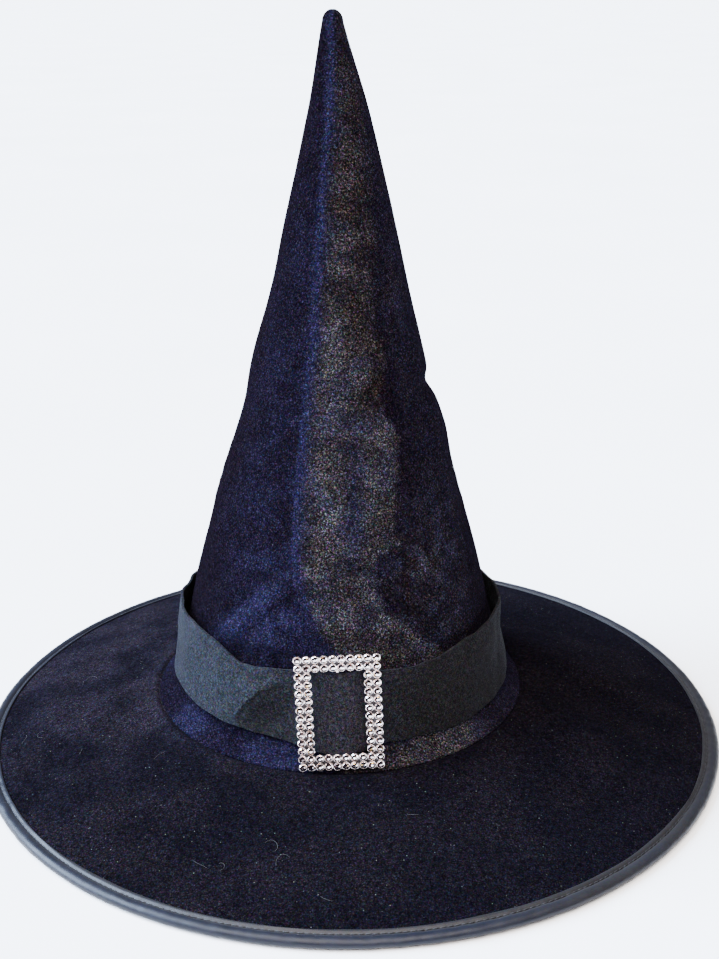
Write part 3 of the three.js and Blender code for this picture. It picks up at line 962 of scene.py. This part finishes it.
def band_radius(angle, up):
    """The band stands straighter than the crown, and bulges over the buckle's bar"""
    lean = -(up - BAND_MID_UP) * math.tan(LEAN)
    across = np.abs(BAND_R * np.sin(np.radians(angle)))
    front = np.cos(np.radians(angle)) > 0
    hump = np.where(front, (BUCKLE_R - BAND_R + FELT) * (1 - ramp(across, 3, 24)), 0)
    return BAND_R + lean + hump


def band_painted_shade(angle, up):
    """Painted light and shade on the felt: paler round to the left, a painted shadow that makes it darker
    and browner beyond the pleat and above its tip, less of it in the buckle's window, darker to the right,
    lighter round the back, with soft clouds
    """
    x, y = np.radians(angle) * BAND_R, up
    away, side, _, _ = nearest(on_band(PLEAT_LOWER + PLEAT_RIDGE[1:]), x, y)
    past_fold = ramp(-side * away, -0.6, 1.4) * ramp(angle, -60, -20)
    off_upper, upper_side, _, _ = nearest(on_band(PLEAT_UPPER), x, y)
    above_tip = ramp(upper_side * off_upper, -0.4, 0.8) * ramp(angle, -44, -30) * (1 - past_fold)
    window = hill(angle, 2, 13)
    round_back = ramp(np.abs(angle + 60), 110, 150)
    cloud = waves(45, 16, 12, 50)(polar(angle, BAND_R, up))
    shadow = 0.8 * past_fold * (1 - 0.95 * window) + above_tip * (0.3 + 0.3 * np.exp(-off_upper / 2.5))
    return 1 - shadow - 0.2 * ramp(angle, 12, 30) + 0.5 * round_back + 0.12 * cloud


def make_band():
    lap = 5.5  # degrees past the back that each end of the strip reaches
    angle, share = np.meshgrid(np.linspace(-180 - lap, 180 + lap, 1100), np.linspace(0, 1, 90))
    low, high = (edge_curve(full_turn(angle), column) for column in (1, 2))
    ripple = np.stack([angle * 1.4, np.zeros_like(angle), np.zeros_like(angle)], -1)
    low = low + 0.25 * waves(41, 10, 12, 40)(ripple)
    high = high + 0.3 * waves(42, 10, 12, 40)(ripple)
    up = low + (high - low) * share
    radius = band_radius(angle, up)
    sample = polar(angle, radius, up)
    beside = ramp(np.abs(angle), 14, 26)
    radius = radius + beside * 0.35 * waves(43, 14, 18, 50)(sample) * (0.5 + share)
    radius = radius + 0.06 * waves(44, 24, 5, 11)(sample)
    radius = radius + pleat_relief(angle, up)
    radius = radius + (FELT + 0.3) * ramp(angle, 180 - 1.6 * lap, 180 - 0.4 * lap)
    points = polar(angle, radius, SEAM_Z + up, CROWN_X)
    band = skin("felt_band", points, FELT_CLOTH, closed=False)
    # The felt's light value is painted light and shade
    paint(band, "nap_and_painted_light", band_painted_shade(angle, up))
    paint(band, "warm", hill(angle, 2, 12))
    thicken(band, FELT)
    soften_edges(band, 0.35).limit_method = "ANGLE"
    finish_piece(band, "hat", ["hat_band"])


make_band()


# Crown lining, tape and threads

def make_lining():
    rows = np.concatenate([[1.2, 2.0, 3.5, 6, 9, 13], np.linspace(20, CROWN_H - 16, 150)])
    angle, up = np.meshgrid(around(300), rows)
    base = polar(angle, crown_radius(up), up, crown_centre(up))
    radius = crown_radius(up) + crown_relief(angle, up, base) * 0.9 - 1.1
    lining = skin("crown_lining", polar(angle, radius, SEAM_Z + up, crown_centre(up)), BOARD, cap=True)
    thicken(lining, 1.6)
    finish_piece(lining, "hat", ["crown_stiffener"])


def make_head_tape():
    rows = np.array([-6.0, -4.0, -2.0, 0.0, 2.0, 3.5, 6.0, 9.0, 13.0, 17.0, 22.0])
    angle, up = np.meshgrid(around(360), rows)
    radius = np.minimum(90.2, crown_radius(np.maximum(up, 0)) - 3.2)
    radius = radius + 0.25 * waves(51, 20, 8, 30)(polar(angle, radius, up))
    tape = skin("head_opening_tape", polar(angle, radius, SEAM_Z + up, CROWN_X), SATIN)
    thicken(tape, 0.7)
    finish_piece(tape, "hat", ["head_tape"])


make_lining()
make_head_tape()


def crown_stitches():
    """The back seam's stitches inside the lining, and the stitches of the seam round the crown's foot"""
    low = np.arange(27, 288, 4.0)
    ends = [polar(180, crown_radius(up) - 3.4, SEAM_Z + up, crown_centre(up)) for up in (low, low + 3.1)]
    finish_piece(rods("crown_seam_stitches", *ends, 0.32, THREAD), "hat", ["crown_seam_thread"])
    count = 150
    angle = np.arange(count) * 360 / count
    ends = [polar(angle + turn, 90.8, SEAM_Z - 2.0, CROWN_X) for turn in (-0.9, 0.9)]
    finish_piece(rods("crown_base_stitches", *ends, 0.3, THREAD), "hat", ["crown_base_thread"])


crown_stitches()


# Buckle

def buckle_matrix():
    """From the buckle's own frame (x across, z up its face, y = 0 at the back) to the row frame, in mm"""
    hinge = Vector(frame["joints"][0]["pos_m"]) / MM
    turn = Matrix.Rotation(-LEAN, 4, "X") @ Matrix.Rotation(-ROLL, 4, "Y")
    return Matrix.Translation(hinge) @ turn @ Matrix.Translation((0, -BAR_R - BAR_GAP, 0))


BUCKLE = buckle_matrix()


def to_row(points):
    """Points in the buckle's own frame, moved into the row frame"""
    m = np.array(BUCKLE)
    return np.asarray(points) @ m[:3, :3].T + m[:3, 3]


def stone_shape(rng):
    """A round stone in its cup: [points, faces, how many faces are the cup], its face towards -y"""
    sides = 16
    half = sides // 2
    turn = rng.uniform(0, 2 * math.pi / half)
    cup = [(1.70, 0.0), (1.96, -0.12), (1.99, -0.60), (1.93, -0.88), (1.80, -0.84)]
    stone = [(1.80, -0.86, 0), (1.55, -1.34, 1), (1.12, -1.72, 0), (0.55, -1.92, 1)]
    points, faces = [], []
    for r, y in cup:
        points += [(r * math.cos(t), y, r * math.sin(t)) for t in turns(sides, turn)]
    faces += ring_faces(0, len(cup), sides, outward=False)
    cup_faces = len(faces)
    rings = []
    for r, y, shift in stone:
        rings.append(len(points))
        for k in range(half):
            t = turn + 2 * math.pi * (k + 0.5 * shift) / half
            points.append((r * math.cos(t), y, r * math.sin(t)))
    for (_, _, shift), outer, inner in zip(stone, rings, rings[1:]):
        for k in range(half):
            n = (k + 1) % half
            if shift:
                faces.append([outer + k, inner + n, outer + n])
                faces.append([outer + k, inner + k, inner + n])
            else:
                faces.append([outer + k, inner + k, outer + n])
                faces.append([inner + k, inner + n, outer + n])
    faces.append([rings[-1] + k for k in range(half)])
    rim = (len(cup) - 1) * sides
    for k in range(half):
        n = (k + 1) % half
        a, b, c = rim + 2 * k, rim + 2 * k + 1, rim + (2 * k + 2) % sides
        faces += [[a, rings[0] + k, b], [b, rings[0] + k, rings[0] + n], [b, rings[0] + n, c]]
    faces.append(list(range(sides)))
    return np.array(points), faces, cup_faces


def paint_facet_light(points, faces, rng):
    """A stone's painted light: painted shade where it is high and to the left, a white painted highlight low
    and to the right, a pale painted rim, and now and then an amber painted glint
    """
    facet_light = []
    for face in faces:
        x, _, z = points[face].mean(0)
        away = math.hypot(x, z)
        side = (0.85 * z - 0.5 * x) / 1.1
        value = 0.7 - 0.85 * side if away < 1.35 else 0.84 - 0.16 * side
        value = float(np.clip(value + rng.normal(0, 0.13), 0, 0.9))
        facet_light.append(1.0 if rng.random() < 0.03 else value)
    return facet_light


def stone_row(name, places, seed):
    rng = np.random.default_rng(seed)
    points, faces, plated, facet_lights = [], [], [], []
    for x, z in places:
        own, own_faces, cup_faces = stone_shape(rng)
        facet_lights += paint_facet_light(own, own_faces, rng)
        tilt = rng.normal(0, 0.05, 2)
        own[:, 1] += own[:, 0] * tilt[0] + own[:, 2] * tilt[1]
        own = own + [x + rng.normal(0, 0.05), -PLATE - 0.2, z + rng.normal(0, 0.05)]
        first = sum(len(p) for p in points)
        points.append(own)
        faces += [[first + i for i in f] for f in own_faces]
        plated += [i < cup_faces for i in range(len(own_faces))]
    piece = mesh_object("set_" + name, to_row(np.vstack(points)), faces, STONES, smooth=False)
    piece.data.materials.append(PLATING)
    piece.data.polygons.foreach_set("material_index", [1 if cup else 0 for cup in plated])
    piece.data.attributes.new("facet_light", "FLOAT", "FACE").data.foreach_set("value", facet_lights)
    finish_piece(piece, "buckle", [name])


def make_plate():
    """The buckle's back plate, whose edges the stones' cups overhang, with the eye that ends the bar"""
    overhang = 1.1
    points, faces = [], []
    half_w, half_h, rail = COLUMNS * STONE / 2, ROWS * STONE / 2, 2 * STONE
    for inset, y in ((overhang, 0), (overhang, -PLATE), (rail - overhang, -PLATE), (rail - overhang, 0)):
        w, h = half_w - inset, half_h - inset
        cut = 0.8
        corners = [(w - cut, h), (w, h - cut), (w, -h + cut), (w - cut, -h),
                   (-w + cut, -h), (-w, -h + cut), (-w, h - cut), (-w + cut, h)]
        points += [(x, y, z) for x, z in corners]
    for i in range(4):
        for k in range(8):
            n = (k + 1) % 8
            faces.append([i * 8 + k, i * 8 + n, (i + 1) % 4 * 8 + n, (i + 1) % 4 * 8 + k])
    eye = len(points)
    sides, eye_z = 10, half_h - rail - 0.1
    for r, y in ((0.55, -0.1), (0.95, -0.5), (0.95, -1.5), (0.5, -1.9)):
        points += [(0.9 * r * math.cos(t), y, eye_z + r * math.sin(t)) for t in turns(sides)]
    eye_faces = [list(range(eye, eye + sides)), list(range(eye + 3 * sides, eye + 4 * sides))[::-1]]
    eye_faces += ring_faces(eye, 4, sides, outward=False)
    plate = mesh_object("buckle_plate", to_row(points), faces + eye_faces, FRAME_METAL, smooth=False)
    plate.data.materials.append(PLATING)
    plate.data.polygons.foreach_set("material_index", [0] * len(faces) + [1] * len(eye_faces))
    soften_edges(plate, 0.25)
    finish_piece(plate, "buckle", ["buckle_frame"])


make_plate()


def make_stones():
    seed = 500
    for row, depth in (("outer", 0), ("inner", 1)):
        x = (COLUMNS / 2 - 0.5 - depth) * STONE
        z = (ROWS / 2 - 0.5 - depth) * STONE
        across = np.linspace(-x, x, COLUMNS - 2 * depth)
        upward = np.linspace(-z + STONE, z - STONE, ROWS - 2 - 2 * depth)
        sides = {
            "top": [(i, z) for i in across],
            "bottom": [(i, -z) for i in across],
            "left": [(-x, k) for k in upward],
            "right": [(x, k) for k in upward],
        }
        for side, places in sides.items():
            seed += 1
            stone_row(f"stones_{row}_{side}", places, seed)


make_stones()


# CAD nodes that stay

def dress(finish, *names):
    for name in names:
        made = frame["nodes"][name]
        made.data.materials.clear()
        made.data.materials.append(finish)


dress(PLATING, "buckle_bar")
dress(WIRE, "brim_wire", "wire_ferrule")
dress(THREAD, "band_lap_thread", "band_tack_left", "band_tack_right", "band_tack_back")


# Camera, lights and floor

def look(position, forward, up, name, data):
    made = bpy.data.objects.new(name, data)
    bpy.context.scene.collection.objects.link(made)
    back = -forward.normalized()
    right = up.cross(back).normalized()
    made.matrix_world = Matrix.Translation(position) @ Matrix(
        (right, back.cross(right), back)).transposed().to_4x4()
    return made


# The camera, fitted to the photo: where it is, in metres, and its pitch, yaw and roll in degrees
CAMERA_AT = (0, -0.6519, 0.3708 + EDGE_MID_Z * MM)
CAMERA_TURN = (20.098, 0.423, -0.464)
CAMERA_LENS = 52.04
WORLD_LIGHT = 0.25
FLOOR_HALF = 80.0
FLOOR_DROP = 0.0005


def make_camera():
    pitch, yaw, roll = (math.radians(d) for d in CAMERA_TURN)
    position = Vector(CAMERA_AT)
    forward = Vector((math.sin(yaw) * math.cos(pitch), math.cos(yaw) * math.cos(pitch), -math.sin(pitch)))
    level = Vector((math.cos(yaw), -math.sin(yaw), 0))
    up = level.cross(forward)
    up = -math.sin(roll) * level + math.cos(roll) * up
    data = bpy.data.cameras.new("camera")
    data.lens = CAMERA_LENS
    data.sensor_width = 36
    bpy.context.scene.camera = look(position, forward, up, "camera", data)


def make_stage():
    mesh = bpy.data.meshes.new("floor")
    far = FLOOR_HALF
    mesh.from_pydata([(-far, -far, 0), (far, -far, 0), (far, far, 0), (-far, far, 0)], [], [[0, 1, 2, 3]])
    floor = bpy.data.objects.new("floor", mesh)
    floor.location.z = -FLOOR_DROP
    bpy.context.scene.collection.objects.link(floor)
    made, tree, shader = material("floor")
    pale = shades(tree, noise(tree, 3, 2, 0.5), [(0.3, grey(0.88)), (0.7, grey(0.92))])
    settle(shader, Base_Color=pale, Roughness=0.8)
    floor.data.materials.append(made)
    world = bpy.data.worlds.new("studio")
    world.use_nodes = True
    settle(world.node_tree.nodes["Background"], Color=(0.95, 0.97, 1, 1), Strength=WORLD_LIGHT)
    bpy.context.scene.world = world


def sun(name, azimuth, elevation, spread, power, color):
    """Light from far away. Azimuth is where it comes from, in degrees from the front towards +X."""
    data = bpy.data.lights.new(name, "SUN")
    data.energy = power
    data.angle = math.radians(spread)
    data.color = color
    a, e = math.radians(azimuth), math.radians(elevation)
    source = Vector((math.sin(a) * math.cos(e), -math.cos(a) * math.cos(e), math.sin(e)))
    look(source, -source, Vector((0.0, 0.1, 1.0)).normalized(), name, data)


make_camera()
make_stage()
sun("window", -93, 34, 50, 32.0, (0.56, 0.73, 1.0))
sun("room", -12, 65, 60, 12.0, (1.0, 0.92, 0.88))
